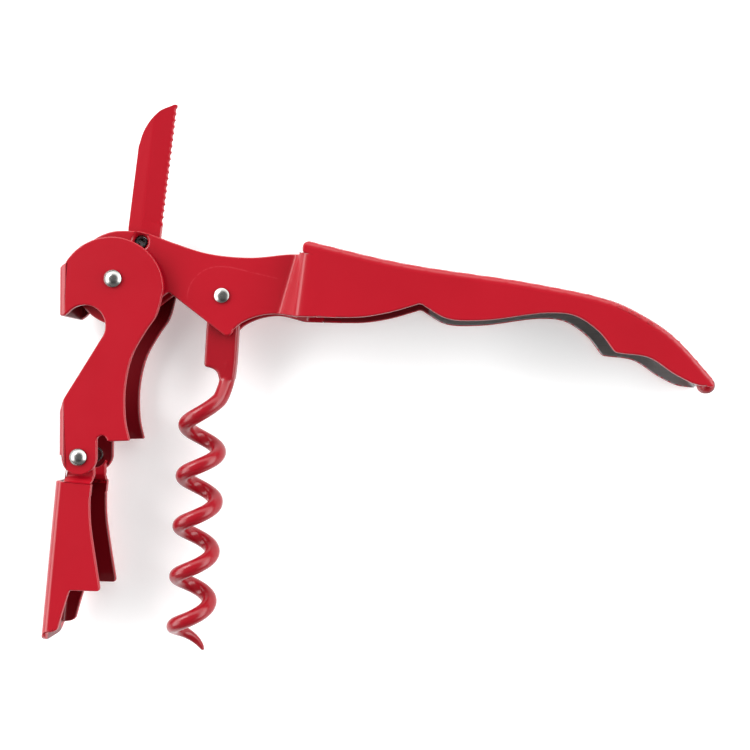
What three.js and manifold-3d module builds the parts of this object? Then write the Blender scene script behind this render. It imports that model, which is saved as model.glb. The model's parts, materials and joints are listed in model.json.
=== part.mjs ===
// A double-lever waiter's corkscrew, open and lying on its side.
//
// The handle is one folded sheet of steel: a channel at the grip that steps in to two flat neck plates. A two-stage
// lever turns on a rivet through the round head of the neck, the worm hangs from a second rivet in the slot between
// the neck plates, and a serrated foil knife turns on a headless pin above the lever's rivet.
//
// Lengths are millimetres. X runs along the handle, Y across it and Z through the tool from side to side, so every
// pivot stands along Z. Each piece is drawn about its own pivot, and the levers are drawn with x running down them
// and y across them, towards the worm.
import * as THREE from 'three';
import { mergeVertices } from 'three/addons/utils/BufferGeometryUtils.js';
import Module from 'manifold-3d';

const wasm = await Module();
wasm.setup();

// Clearances.
const CLEARANCE = 0.3; // between pieces that slide past each other
const PIN_CLEARANCE = 0.2; // round a pin in its hole

// Rivet heads. The worm's rivet has low heads, because the lever folds over them.
const HEAD_HEIGHT = 0.8;
const LOW_HEAD_HEIGHT = 0.5;
const HEAD_SEAT = 0.2; // gap under a head

// Sheet, and widths across the tool.
const HANDLE_SHEET = 1;
const HANDLE_WIDTH = 12.8;
const NECK_SLOT = 3.2; // between the neck plates
const NECK_WIDTH = NECK_SLOT + 2 * HANDLE_SHEET;
const CHEEK_GAP = HEAD_SEAT + LOW_HEAD_HEIGHT + CLEARANCE; // between the neck and each cheek of the lever
const LEVER_SHEET = 1;
const LEVER_INSIDE = NECK_WIDTH + 2 * CHEEK_GAP;
const LEVER_WIDTH = LEVER_INSIDE + 2 * LEVER_SHEET;
const EAR_WIDTH = LEVER_INSIDE - 2 * CLEARANCE;
const BEND_RADIUS = 1.6; // outside of a folded corner
const BLANK_DEPTH = 20; // of a folded channel before its sides are trimmed
const BLANK_END = 20; // how far a blank runs past the piece at each end

// Pivots, seen from the side, with the lever's rivet at 0, 0.
const WORM_PIVOT = new THREE.Vector2(19, -2.8);
const KNIFE_PIVOT = new THREE.Vector2(4.1, 7);
const HINGE = new THREE.Vector2(-6.1, -31.8);

// Handle: the round head, the neck and the grip.
const HEAD_RADIUS = 8.6;
const HEAD_CENTRE = new THREE.Vector2(0.7, 0.4);
const NECK_END = 31.3; // where the walls start to step outwards, at the height of the pivots
const STEP_RUN = 2.3; // length of that step
const NECK_HALF_HEIGHT = 11; // more than the neck's reach above and below the pivots
const STEP_START_LEAN = 0.286; // how far the two ends of the step lean over for each millimetre of height
const STEP_END_LEAN = 0.129;
const GRIP_START = NECK_END + STEP_RUN + 0.4; // where the folded spine starts
const GRIP_LENGTH = 74;
const TAIL = GRIP_START + GRIP_LENGTH;
const TAIL_RADIUS = 1.3;

// Upper lever.
const HEAD_CLEARANCE = 0.4; // between the head and the inside of the lever's back
const LEVER_BACK = HEAD_RADIUS + HEAD_CLEARANCE + LEVER_SHEET; // from the rivet to the outside of the back
const CHEEK_RADIUS = LEVER_BACK - 0.55;
const CHEEK_CENTRE = new THREE.Vector2(1.9, -0.5); // x down the lever
const THROAT_RADIUS = 3.75; // of the cap opener
const EAR_RADIUS = 3.2;

// Lower lever.
const LOWER_BACK = 4.1; // from the hinge to the outside of the back
const LOWER_LENGTH = 31.5; // from the hinge to the foot
const LOWER_TONGUE = 1.9; // how far the back runs past the foot
const LOWER_EAR_RADIUS = 2.4;
const LOWER_TILT = 5.2; // degrees outwards from the upper lever

// Worm.
const WIRE_DIAMETER = 2.8;
const WORM_DIAMETER = 8.8;
const WORM_PITCH = 9.15;
const WORM_TURNS = 5;
const WORM_AXIS = -2.54; // of the coil, beside the pivot
const WORM_TILT = 3.5; // degrees from straight down
const SHANK_WIDTH = 5.8;
const SHANK_LENGTH = 13; // from the pivot to the shoulder
const SHANK_THICKNESS = NECK_SLOT - 2 * CLEARANCE;
const TAPER_LENGTH = 11; // of the point, along the wire

// Foil knife.
const KNIFE_THICKNESS = 1.2;
const KNIFE_LENGTH = 26.2; // from the pivot to the point
const KNIFE_WIDTH = 5.95;
const KNIFE_ANGLE = 83; // degrees from the handle when open
const SCALLOPS = 18;
const SCALLOP_DEPTH = 0.27;
const BEVEL_WIDTH = 3.3;
const KNIFE_WASHER_DIAMETER = 3.6;
const KNIFE_WASHER_THICKNESS = (NECK_SLOT - KNIFE_THICKNESS) / 2 - 2 * CLEARANCE;

// Rivets and pins.
const LEVER_RIVET = { shank: 2.3, head: 3.1, height: HEAD_HEIGHT, across: LEVER_WIDTH };
const HINGE_RIVET = { shank: 2.3, head: 3.0, height: HEAD_HEIGHT, across: LEVER_WIDTH };
const WORM_RIVET = { shank: 1.9, head: 2.65, height: LOW_HEAD_HEIGHT, across: NECK_WIDTH };
const KNIFE_PIN_DIAMETER = 2;
const KNIFE_PIN_BORE = 1.2;
const KNIFE_PIN_RECESS = 0.4; // below the outside of each neck plate
const SPACER_DIAMETER = 4.4;
const LEVER_WASHER_DIAMETER = 5.6;

const degrees = THREE.MathUtils.degToRad;

// Turns a closed geometry into a solid that can be cut and joined.
function solidOf(geometry) {
  const bare = geometry.clone();
  bare.deleteAttribute('normal');
  bare.deleteAttribute('uv');
  const merged = mergeVertices(bare, 1e-4);
  return new wasm.Manifold(new wasm.Mesh({
    numProp: 3,
    vertProperties: new Float32Array(merged.attributes.position.array),
    triVerts: new Uint32Array(merged.index.array),
  }));
}

function geometryOf(solid) {
  const mesh = solid.getMesh();
  const geometry = new THREE.BufferGeometry();
  geometry.setAttribute('position', new THREE.BufferAttribute(mesh.vertProperties, 3));
  geometry.setIndex(new THREE.BufferAttribute(mesh.triVerts, 1));
  geometry.computeVertexNormals();
  return geometry;
}

// A flat plate of the given outline, centred across the tool.
function plate(outline, thickness, curveSegments = 5) {
  const geometry = new THREE.ExtrudeGeometry(outline, { depth: thickness, bevelEnabled: false, curveSegments });
  return solidOf(geometry.translate(0, 0, -thickness / 2));
}

// A round bar across the tool, used for pins and to bore holes.
function bar(diameter, length, x = 0, y = 0) {
  const geometry = new THREE.CylinderGeometry(diameter / 2, diameter / 2, length, 20);
  return solidOf(geometry.rotateX(Math.PI / 2).translate(x, y, 0));
}

// A hole right across the tool for a pin of the given diameter.
function bore(diameter, x = 0, y = 0) {
  return bar(diameter + 2 * PIN_CLEARANCE, 2 * HANDLE_WIDTH, x, y);
}

function ring(outer, inner, length) {
  return bar(outer, length).subtract(bar(inner, 2 * length));
}

// A folded channel along a path in the XY plane. The path is the outside of its back, and its walls go down from
// it on the path's right-hand side.
function channel(path, steps, width, sheet, depth) {
  const half = width / 2;
  const section = new THREE.Shape();
  section.moveTo(-half, -depth);
  section.lineTo(-half, -BEND_RADIUS);
  section.absarc(-half + BEND_RADIUS, -BEND_RADIUS, BEND_RADIUS, Math.PI, Math.PI / 2, true);
  section.lineTo(half - BEND_RADIUS, 0);
  section.absarc(half - BEND_RADIUS, -BEND_RADIUS, BEND_RADIUS, Math.PI / 2, 0, true);
  section.lineTo(half, -depth);
  section.lineTo(half - sheet, -depth);
  section.lineTo(half - sheet, -BEND_RADIUS);
  section.lineTo(half - BEND_RADIUS, -sheet);
  section.lineTo(BEND_RADIUS - half, -sheet);
  section.lineTo(sheet - half, -BEND_RADIUS);
  section.lineTo(sheet - half, -depth);
  return solidOf(new THREE.ExtrudeGeometry(section, { steps, bevelEnabled: false, curveSegments: 3, extrudePath: path }));
}

// Two mirrored walls of folded sheet, seen from above as the stations [x, outside face]. The walls step sideways
// between the middle stations. A step's two ends lean over along X by the two leans for each millimetre of height.
function walls(stations, sheet, height, leans = [0, 0]) {
  const [[startX, narrow], [stepStart], [stepEnd, wide], [endX]] = stations;
  const shift = sheet * Math.tan(Math.atan2(wide - narrow, stepEnd - stepStart) / 2);
  const middle = (stepStart + stepEnd + shift) / 2;
  const sides = [1, -1].map((side) => {
    const outline = new THREE.Shape([
      [startX, narrow], [stepStart, narrow], [stepEnd, wide], [endX, wide],
      [endX, wide - sheet], [stepEnd + shift, wide - sheet], [stepStart + shift, narrow - sheet],
      [startX, narrow - sheet],
    ].map(([x, z]) => new THREE.Vector2(x, -side * z)));
    const geometry = new THREE.ExtrudeGeometry(outline, { depth: 2 * height, bevelEnabled: false });
    geometry.rotateX(-Math.PI / 2).translate(0, -height, 0);
    const position = geometry.attributes.position;
    for (let i = 0; i < position.count; i += 1) {
      const lean = position.getX(i) < middle ? leans[0] : leans[1];
      position.setX(i, position.getX(i) + lean * position.getY(i));
    }
    return solidOf(geometry);
  });
  return sides[0].add(sides[1]);
}

function roundPlate(radius, centre, thickness) {
  const outline = new THREE.Shape();
  outline.absarc(centre.x, centre.y, radius, 0, 2 * Math.PI, false);
  return plate(outline, thickness, 36);
}

function points(list) {
  return list.map(([x, y]) => new THREE.Vector2(x, y));
}

function makeHandle() {
  const spine = new THREE.CatmullRomCurve3([
    [GRIP_START, 6.9], [GRIP_START + 17.6, 2.7], [GRIP_START + 40.2, -0.8], [TAIL - 19.6, -3.9],
    [TAIL - 14, -6.5], [TAIL - 8.3, -10.4], [TAIL - 0.3, -19.3],
  ].map(([x, y]) => new THREE.Vector3(x, y, 0)));
  const folded = channel(spine, 24, HANDLE_WIDTH, HANDLE_SHEET, BLANK_DEPTH);

  // The grip's side: a straight start, a finger notch, a belly and the sweep to the tail.
  const side = new THREE.Shape();
  side.moveTo(GRIP_START, 12);
  side.lineTo(GRIP_START, 5);
  side.lineTo(GRIP_START - 1.2, -6.9);
  side.splineThru(points([[GRIP_START + 8.7, -7.1], [GRIP_START + 15.5, -6.1], [GRIP_START + 20.8, -4.6]]));
  side.splineThru(points([[GRIP_START + 25.5, -7.5], [GRIP_START + 32, -7.6], [TAIL - 30.7, -6.3],
    [TAIL - 26, -6.7], [TAIL - 21.5, -9.7], [TAIL - 18.9, -13.2]]));
  side.splineThru(points([[TAIL - 13, -14.1], [TAIL - 8.5, -17.1], [TAIL - 4.8, -18.9], [TAIL - 0.6, -19.4]]));
  side.lineTo(TAIL + 5, -15);
  side.lineTo(TAIL + 5, 12);
  const grip = folded.intersect(plate(side, 2 * HANDLE_WIDTH, 4));

  const tailOutline = new THREE.Shape();
  tailOutline.absarc(TAIL - TAIL_RADIUS, -19, TAIL_RADIUS, 0, 2 * Math.PI, false);
  const tail = plate(tailOutline, HANDLE_WIDTH - 2 * BEND_RADIUS, 5);

  const neckOutline = new THREE.Shape();
  neckOutline.moveTo(0, 8.9);
  neckOutline.splineThru(points([[4.6, 8.9], [10.4, 6.7], [16.1, 4.9], [24, 4.1], [NECK_END, 4.7],
    [GRIP_START + 3, 4.2]]));
  neckOutline.lineTo(GRIP_START + 3, -7);
  neckOutline.splineThru(points([[NECK_END - 2.8, -6.1], [25, -6.6], [22.3, -7.8], [21, -8.9]]));
  neckOutline.quadraticCurveTo(20.6, -10.4, 19.3, -9.9);
  neckOutline.lineTo(9.2, -2.1);
  neckOutline.lineTo(0, -2.1);
  const neckSide = plate(neckOutline, 2 * HANDLE_WIDTH).add(roundPlate(HEAD_RADIUS, HEAD_CENTRE, 2 * HANDLE_WIDTH));
  const neck = walls(
    [[-BLANK_END, NECK_WIDTH / 2], [NECK_END, NECK_WIDTH / 2], [NECK_END + STEP_RUN, HANDLE_WIDTH / 2],
      [GRIP_START + BLANK_END, HANDLE_WIDTH / 2]],
    HANDLE_SHEET, NECK_HALF_HEIGHT, [STEP_START_LEAN, STEP_END_LEAN],
  ).intersect(neckSide);

  return grip.add(tail).add(neck)
    .subtract(bore(LEVER_RIVET.shank))
    .subtract(bore(WORM_RIVET.shank, WORM_PIVOT.x, WORM_PIVOT.y))
    .subtract(bore(KNIFE_PIN_DIAMETER, KNIFE_PIVOT.x, KNIFE_PIVOT.y));
}

// The straight channel that both stages of the lever are cut from, with its back below the pivot.
function leverBlank(length, back) {
  const path = new THREE.LineCurve3(
    new THREE.Vector3(length + BLANK_END, -back, 0),
    new THREE.Vector3(-BLANK_END, -back, 0),
  );
  return channel(path, 1, LEVER_WIDTH, LEVER_SHEET, BLANK_DEPTH + back);
}

// The hinge and the throat of the cap opener are placed from the lever's own pivot, x down the lever.
function makeUpperLever() {
  const hinge = new THREE.Vector2(-HINGE.y, HINGE.x);
  const throat = new THREE.Vector2(8.4, 4.8 - LEVER_BACK);
  const side = new THREE.Shape();
  side.moveTo(hinge.x - 0.6, -LEVER_BACK);
  side.lineTo(hinge.x - 7.3, -LEVER_BACK);
  side.quadraticCurveTo(hinge.x - 9, 0.5 - LEVER_BACK, hinge.x - 10.2, 1 - LEVER_BACK);
  side.absarc(throat.x, throat.y, THROAT_RADIUS, degrees(58), degrees(231), false);
  side.lineTo(throat.x - 1.8, 1.1 - LEVER_BACK);
  side.lineTo(throat.x - 1.9, -LEVER_BACK);
  side.lineTo(-2.3, -LEVER_BACK);
  side.absarc(CHEEK_CENTRE.x, CHEEK_CENTRE.y, CHEEK_RADIUS, degrees(235), degrees(90), true);
  side.splineThru(points([[6.4, 7.7], [9.1, 5.9], [13.6, 3.4], [19.1, 2.15], [hinge.x - 6.8, 2.15],
    [hinge.x - 2.9, 2.95]]));
  side.lineTo(hinge.x - 2.8, hinge.y + 5.1);
  side.quadraticCurveTo(hinge.x - 4.6, hinge.y + 4.6, hinge.x - 3.4, hinge.y + EAR_RADIUS);
  side.absarc(hinge.x, hinge.y, EAR_RADIUS, degrees(85), degrees(-95), true);
  // The back stops short of the hinge, so that the lower lever can swing out between the ears.
  const opening = new THREE.Shape(points([
    [hinge.x - 0.6, -LEVER_BACK - 1], [hinge.x + 5, -LEVER_BACK - 1],
    [hinge.x + 5, LEVER_SHEET - LEVER_BACK + CLEARANCE], [hinge.x - 0.6, LEVER_SHEET - LEVER_BACK + CLEARANCE],
  ]));
  return leverBlank(hinge.x, LEVER_BACK)
    .intersect(plate(side, 2 * LEVER_WIDTH))
    .subtract(plate(opening, LEVER_INSIDE))
    .subtract(bore(LEVER_RIVET.shank))
    .subtract(bore(HINGE_RIVET.shank, hinge.x, hinge.y));
}

function makeLowerLever() {
  const shoulder = 4.6; // where the back starts
  const front = new THREE.Shape();
  front.moveTo(shoulder, -LOWER_BACK);
  front.lineTo(LOWER_LENGTH + LOWER_TONGUE, -LOWER_BACK);
  front.lineTo(LOWER_LENGTH + LOWER_TONGUE, LEVER_SHEET - LOWER_BACK);
  front.lineTo(LOWER_LENGTH + 0.2, LEVER_SHEET - LOWER_BACK);
  front.quadraticCurveTo(LOWER_LENGTH, 2.9 - LOWER_BACK, LOWER_LENGTH - 0.8, 3.2 - LOWER_BACK);
  front.quadraticCurveTo(LOWER_LENGTH - 5, 3.9 - LOWER_BACK, LOWER_LENGTH - 7.7, 4.6 - LOWER_BACK);
  front.lineTo(LOWER_LENGTH - 8, 9.5 - LOWER_BACK);
  front.quadraticCurveTo(LOWER_LENGTH - 8.1, 10.1 - LOWER_BACK, LOWER_LENGTH - 8.9, 9.9 - LOWER_BACK);
  front.splineThru(points([[LOWER_LENGTH - 13.2, 8.8 - LOWER_BACK], [LOWER_LENGTH - 20, 7.2 - LOWER_BACK],
    [shoulder + 2.4, 6.7 - LOWER_BACK], [shoulder, 6.7 - LOWER_BACK]]));
  const folded = leverBlank(LOWER_LENGTH, LOWER_BACK).intersect(plate(front, 2 * LEVER_WIDTH));

  // The ears stand closer together than the walls, so that they fit inside the upper lever.
  const ears = new THREE.Shape();
  ears.moveTo(shoulder + 2, 2.6);
  ears.lineTo(3, 2.7);
  ears.absarc(0, 0, LOWER_EAR_RADIUS, degrees(75), degrees(-75), false);
  ears.lineTo(shoulder, BEND_RADIUS - LOWER_BACK);
  ears.lineTo(shoulder + 2, BEND_RADIUS - LOWER_BACK);
  const flare = EAR_RADIUS + CLEARANCE; // clear of the upper lever's ears
  const narrow = walls(
    [[-BLANK_END, EAR_WIDTH / 2], [flare, EAR_WIDTH / 2], [flare + 1.3, LEVER_WIDTH / 2],
      [LOWER_LENGTH, LEVER_WIDTH / 2]],
    LEVER_SHEET, BLANK_DEPTH,
  ).intersect(plate(ears, 2 * LEVER_WIDTH));
  return folded.add(narrow).subtract(bore(HINGE_RIVET.shank));
}

// The wire leaves the shank straight, swings into the coil and winds down it, right-handed. It is drawn as a
// straight turned bar with a long point, and each ring of that bar is then carried to its place on the route.
function makeWorm() {
  const radius = WIRE_DIAMETER / 2;
  const coil = WORM_DIAMETER / 2 - radius;
  const startX = SHANK_WIDTH / 2 - radius - 0.2;
  const steep = 2.05; // how much steeper the first half turn starts than the coil
  const route = [new THREE.Vector3(startX, -SHANK_LENGTH, 0), new THREE.Vector3(startX, -SHANK_LENGTH - 2, 0)];
  const firstY = -SHANK_LENGTH - 3.5;
  const halfDrop = (WORM_PITCH / 2) * (1 + steep / 3);
  const last = 2 * Math.PI * WORM_TURNS;
  for (let angle = degrees(30); angle <= last + 1e-6; angle += degrees(15)) {
    const early = Math.max(0, 1 - angle / Math.PI);
    const drop = angle < Math.PI
      ? (WORM_PITCH / 2) * (angle / Math.PI) + (WORM_PITCH / 2) * (steep / 3) * (1 - early ** 3)
      : halfDrop + (WORM_PITCH * (angle - Math.PI)) / (2 * Math.PI);
    const reach = coil + (startX - WORM_AXIS - coil) * early;
    route.push(new THREE.Vector3(WORM_AXIS + reach * Math.cos(angle), firstY - drop, reach * Math.sin(angle)));
  }
  const curve = new THREE.CatmullRomCurve3(route);
  const rings = 108;
  const length = curve.getLength();
  const profile = [new THREE.Vector2(0, 0)];
  for (let i = 0; i <= rings; i += 1) {
    const along = (length * i) / rings;
    const left = length - along;
    const start = Math.min(1, 0.8 + along / 20);
    const point = Math.min(1, 0.1 + 0.9 * Math.sqrt(left / TAPER_LENGTH));
    profile.push(new THREE.Vector2(radius * Math.min(start, point), along));
  }
  profile.push(new THREE.Vector2(0, length));
  const wire = mergeVertices(new THREE.LatheGeometry(profile, 8).deleteAttribute('normal').deleteAttribute('uv'), 1e-4);
  const frames = curve.computeFrenetFrames(rings, false);
  const centres = curve.getSpacedPoints(rings);
  const position = wire.attributes.position;
  for (let i = 0; i < position.count; i += 1) {
    const ringIndex = Math.round((position.getY(i) * rings) / length);
    const moved = centres[ringIndex].clone()
      .addScaledVector(frames.normals[ringIndex], position.getX(i))
      .addScaledVector(frames.binormals[ringIndex], -position.getZ(i));
    position.setXYZ(i, moved.x, moved.y, moved.z);
  }

  const half = SHANK_WIDTH / 2;
  const shank = new THREE.Shape();
  shank.absarc(0, 0, half, 0, Math.PI, false);
  shank.lineTo(-half, -SHANK_LENGTH);
  shank.quadraticCurveTo(startX - radius, -SHANK_LENGTH, startX - radius, -SHANK_LENGTH - 3);
  shank.lineTo(startX + radius, -SHANK_LENGTH - 3);
  shank.lineTo(half, -SHANK_LENGTH + 1);
  return plate(shank, SHANK_THICKNESS)
    .add(solidOf(wire))
    .subtract(bore(WORM_RIVET.shank));
}

// The blade runs along +x from its pin, with its back at the top and its scalloped edge at the bottom.
function makeKnife() {
  const back = KNIFE_WIDTH / 2 + 0.15;
  const edge = back - KNIFE_WIDTH;
  const heel = 4.2;
  const pitch = (KNIFE_LENGTH - 0.4 - heel) / SCALLOPS;
  const outline = new THREE.Shape();
  outline.absarc(0, 0, -edge, degrees(90), degrees(270), false);
  outline.lineTo(heel - 0.9, edge);
  for (let i = 0; i < SCALLOPS; i += 1) {
    const x = heel + i * pitch;
    outline.lineTo(x, edge);
    outline.quadraticCurveTo(x + pitch / 2, edge + 2 * SCALLOP_DEPTH, x + pitch, edge);
  }
  outline.lineTo(KNIFE_LENGTH, edge + 0.5);
  outline.splineThru(points([[KNIFE_LENGTH - 1.6, back - 3.15], [KNIFE_LENGTH - 3.3, back - 1.75],
    [KNIFE_LENGTH - 5.7, back - 0.6], [KNIFE_LENGTH - 8.7, back]]));
  outline.lineTo(2.5, back);

  // The bevel is ground on one face only.
  const grind = new THREE.Shape(points([
    [edge + BEVEL_WIDTH, KNIFE_THICKNESS / 2], [edge - 1, KNIFE_THICKNESS / 2],
    [edge - 1, -KNIFE_THICKNESS * 0.45],
  ]));
  const wedge = new THREE.ExtrudeGeometry(grind, { depth: KNIFE_LENGTH, bevelEnabled: false });
  wedge.applyMatrix4(new THREE.Matrix4().set(0, 0, 1, heel - 0.8, 1, 0, 0, 0, 0, 1, 0, 0, 0, 0, 0, 1));
  return plate(outline, KNIFE_THICKNESS, 3)
    .subtract(solidOf(wedge))
    .subtract(bore(KNIFE_PIN_DIAMETER));
}

// A rivet with the same dome at both ends, each just above the sheet it holds.
function makeRivet({ shank, head, height, across }) {
  const seat = across / 2 + HEAD_SEAT;
  const dome = [];
  for (let i = 0; i <= 3; i += 1) {
    const angle = (i * Math.PI) / 6;
    dome.push(new THREE.Vector2((head / 2) * Math.cos(angle), seat + height * Math.sin(angle)));
  }
  dome[3].x = 0;
  const upper = [new THREE.Vector2(shank / 2, seat), ...dome];
  const lower = upper.map((p) => new THREE.Vector2(p.x, -p.y)).reverse();
  return solidOf(new THREE.LatheGeometry([...lower, ...upper], 18).rotateX(Math.PI / 2));
}

const coated = new THREE.MeshStandardMaterial({ color: 0xc22432, roughness: 0.32, metalness: 0.1 });
const steel = new THREE.MeshStandardMaterial({ color: 0xc8c8c6, roughness: 0.22, metalness: 1 });
const darkSteel = new THREE.MeshStandardMaterial({ color: 0x3a3a3c, roughness: 0.45, metalness: 1 });

const tool = new THREE.Group();

function piece(name, solid, material, place, angle = 0, z = 0) {
  const mesh = new THREE.Mesh(geometryOf(solid), material);
  mesh.name = name;
  mesh.position.set(place.x, place.y, z);
  mesh.rotation.z = degrees(angle);
  tool.add(mesh);
}

const centre = new THREE.Vector2(0, 0);
piece('handle_body', makeHandle(), coated, centre);
piece('lever_upper', makeUpperLever(), coated, centre, -90);
piece('lever_lower', makeLowerLever(), coated, HINGE, -90 - LOWER_TILT);
piece('worm', makeWorm(), coated, WORM_PIVOT, -WORM_TILT);
piece('foil_knife', makeKnife(), coated, KNIFE_PIVOT, KNIFE_ANGLE);
piece('lever_rivet', makeRivet(LEVER_RIVET), steel, centre);
piece('worm_rivet', makeRivet(WORM_RIVET), steel, WORM_PIVOT);
piece('hinge_rivet', makeRivet(HINGE_RIVET), steel, HINGE);
piece('lever_spacer', ring(SPACER_DIAMETER, LEVER_RIVET.shank + 2 * PIN_CLEARANCE, NECK_SLOT - 2 * CLEARANCE),
  darkSteel, centre);
piece('knife_pin', ring(KNIFE_PIN_DIAMETER, KNIFE_PIN_BORE, NECK_WIDTH - 2 * KNIFE_PIN_RECESS), darkSteel, KNIFE_PIVOT);
const knifeWasher = ring(KNIFE_WASHER_DIAMETER, KNIFE_PIN_DIAMETER + 2 * PIN_CLEARANCE, KNIFE_WASHER_THICKNESS);
const leverWasher = ring(LEVER_WASHER_DIAMETER, LEVER_RIVET.shank + 2 * PIN_CLEARANCE, CHEEK_GAP - 2 * CLEARANCE);
for (const [name, side] of [['front', 1], ['back', -1]]) {
  const knifeWasherZ = (KNIFE_THICKNESS + KNIFE_WASHER_THICKNESS) / 2 + CLEARANCE;
  piece(`knife_washer_${name}`, knifeWasher, steel, KNIFE_PIVOT, 0, side * knifeWasherZ);
  piece(`lever_washer_${name}`, leverWasher, steel, centre, 0, (side * (NECK_WIDTH + CHEEK_GAP)) / 2);
}

// The origin is under the middle of the tool, on the surface that it lies on.
const box = new THREE.Box3().setFromObject(tool, true);
const middle = box.getCenter(new THREE.Vector3());
tool.position.set(-middle.x, -middle.y, -box.min.z);

const group = new THREE.Group();
group.add(tool);

export default group;
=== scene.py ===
# %% [markdown]
# # A folding corkscrew
#
# The tool is a handle folded from one sheet of steel, a lever in two stages, a worm and a small
# serrated knife, all joined by rivets. It lies open on its side. The moving frame comes from the
# CAD model: every piece made here is drawn in the same place, stands for one of its plain solids
# and rides on the body that the solid moves with.

# %% Load the frame
import json
import math

import bpy
from mathutils import Matrix, Vector


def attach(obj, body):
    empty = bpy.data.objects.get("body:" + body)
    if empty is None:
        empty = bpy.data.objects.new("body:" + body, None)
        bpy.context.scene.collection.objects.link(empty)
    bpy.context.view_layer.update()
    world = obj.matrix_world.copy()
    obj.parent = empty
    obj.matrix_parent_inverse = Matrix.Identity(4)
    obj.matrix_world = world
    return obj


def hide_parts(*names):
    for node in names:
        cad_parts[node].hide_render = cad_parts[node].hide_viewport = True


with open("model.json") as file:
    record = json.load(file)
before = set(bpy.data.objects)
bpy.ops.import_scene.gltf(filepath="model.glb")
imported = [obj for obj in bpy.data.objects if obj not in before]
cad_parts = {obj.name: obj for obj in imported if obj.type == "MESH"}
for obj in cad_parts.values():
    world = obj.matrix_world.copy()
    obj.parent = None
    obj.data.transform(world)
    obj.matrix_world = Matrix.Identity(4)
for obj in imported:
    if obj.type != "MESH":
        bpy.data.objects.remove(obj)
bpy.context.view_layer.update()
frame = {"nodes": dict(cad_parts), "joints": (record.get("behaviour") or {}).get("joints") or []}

# %% [markdown]
# ## Working in millimetres
#
# Sheet metal this small is easier to think about in millimetres, so each piece is drawn at one
# unit for a millimetre, about its own pivot. The last step of every piece shrinks it a thousand
# times, turns it and carries it to its pivot in the frame. The pivots are read from the frame's
# joints, so they always agree with the CAD model.

# %% Pivots and the last step of every piece
MM = 0.001
pivot = {joint["name"]: Vector(joint["pos_m"]) for joint in frame["joints"]}
AXLE = pivot["lever_fold"]
WORM_PIVOT = (pivot["worm_fold"] - AXLE) / MM
KNIFE_PIVOT = (pivot["knife_fold"] - AXLE) / MM
HINGE = (pivot["lower_lever_hinge"] - AXLE) / MM


def only(piece):
    """Leaves edit mode and selects one piece alone."""
    if bpy.context.mode != "OBJECT":
        bpy.ops.object.mode_set(mode="OBJECT")
    bpy.ops.object.select_all(action="DESELECT")
    piece.select_set(True)
    bpy.context.view_layer.objects.active = piece


def settle(piece, at, angle=0.0):
    """Carries a piece drawn in millimetres about its pivot to its place in the frame."""
    only(piece)
    place = Matrix.Translation(AXLE + Vector(at) * MM)
    piece.matrix_world = place @ Matrix.Rotation(math.radians(angle), 4, "Z") @ Matrix.Scale(MM, 4)
    bpy.ops.object.transform_apply(location=True, rotation=True, scale=True)
    size = [round(side / MM, 1) for side in piece.dimensions]
    print(piece.name, size, "mm,", len(piece.data.polygons), "faces")


print("worm", WORM_PIVOT, "knife", KNIFE_PIVOT, "hinge", HINGE)

# %% [markdown]
# ## Drawing an outline
#
# A stamped piece starts as an outline. By hand it would be one vertex, extruded from point to
# point round the shape and then filled with F. The same two operators do it here. Two small
# functions give the round stretches: an arc, and a smooth curve that passes through a few chosen
# points.

# %% Outline helpers
SAME_POINT = 1e-3


def arc(x, y, radius, start, end, steps=12):
    """Points on a circle, from one angle to another in degrees."""
    angles = [math.radians(start + (end - start) * i / steps) for i in range(steps + 1)]
    return [(x + radius * math.cos(a), y + radius * math.sin(a)) for a in angles]


def through(points, steps=6):
    """A smooth curve through the points, which doesn't swing out where they are close."""
    first, last = points[0], points[-1]
    start = tuple(2 * a - b for a, b in zip(first, points[1]))
    end = tuple(2 * a - b for a, b in zip(last, points[-2]))
    ends = [start, *points, end]
    curve = []
    for before, here, there, after in zip(ends, ends[1:], ends[2:], ends[3:]):
        pairs = ((before, here), (here, there), (there, after))
        u, v, w = (math.sqrt(math.dist(p, q)) for p, q in pairs)
        for i in range(steps):
            t = i / steps
            point = []
            for a, b, c, d in zip(before, here, there, after):
                leave = v * ((b - a) / u - (c - a) / (u + v) + (c - b) / v)
                arrive = v * ((c - b) / v - (d - b) / (v + w) + (d - c) / w)
                point.append(b + leave * t + (3 * (c - b) - 2 * leave - arrive) * t**2
                             + (2 * (b - c) + leave + arrive) * t**3)
            curve.append(tuple(point))
    return [*curve, tuple(last)]


def bow(start, control, end, steps=6):
    """A quadratic curve, for rounded corners."""
    weights = [
        ((1 - i / steps) ** 2, 2 * (1 - i / steps) * i / steps, (i / steps) ** 2)
        for i in range(steps + 1)
    ]
    return [
        tuple(a * s + b * c + d * e for s, c, e in zip(start, control, end))
        for a, b, d in weights
    ]


print("a quarter circle has", len(arc(0, 0, 1, 0, 90)), "points")

# %% [markdown]
# ## From an outline to a plate
#
# Most pieces here are stamped plates, so one helper draws an outline and another fills it and
# gives it thickness. The points that lie on each other are left out or merged first, because a
# doubled point would leave a slit in the wall.

# %% Drawing helpers

def draw(name, points):
    """A chain of vertices, extruded one by one from point to point."""
    chain = [Vector(point).to_3d() for point in points]
    apart = [b for a, b in zip(chain, chain[1:]) if (b - a).length > SAME_POINT]
    chain = [chain[0], *apart]
    bpy.ops.object.select_all(action="DESELECT")
    bpy.ops.mesh.primitive_plane_add(size=1)
    piece = bpy.context.object
    piece.name = name
    bpy.ops.object.mode_set(mode="EDIT")
    bpy.ops.mesh.select_mode(type="VERT")
    bpy.ops.mesh.merge(type="CENTER")
    bpy.ops.transform.translate(value=chain[0])
    for here, there in zip(chain, chain[1:]):
        bpy.ops.mesh.extrude_region_move(TRANSFORM_OT_translate={"value": there - here})
    bpy.ops.mesh.select_all(action="SELECT")
    return piece


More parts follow.
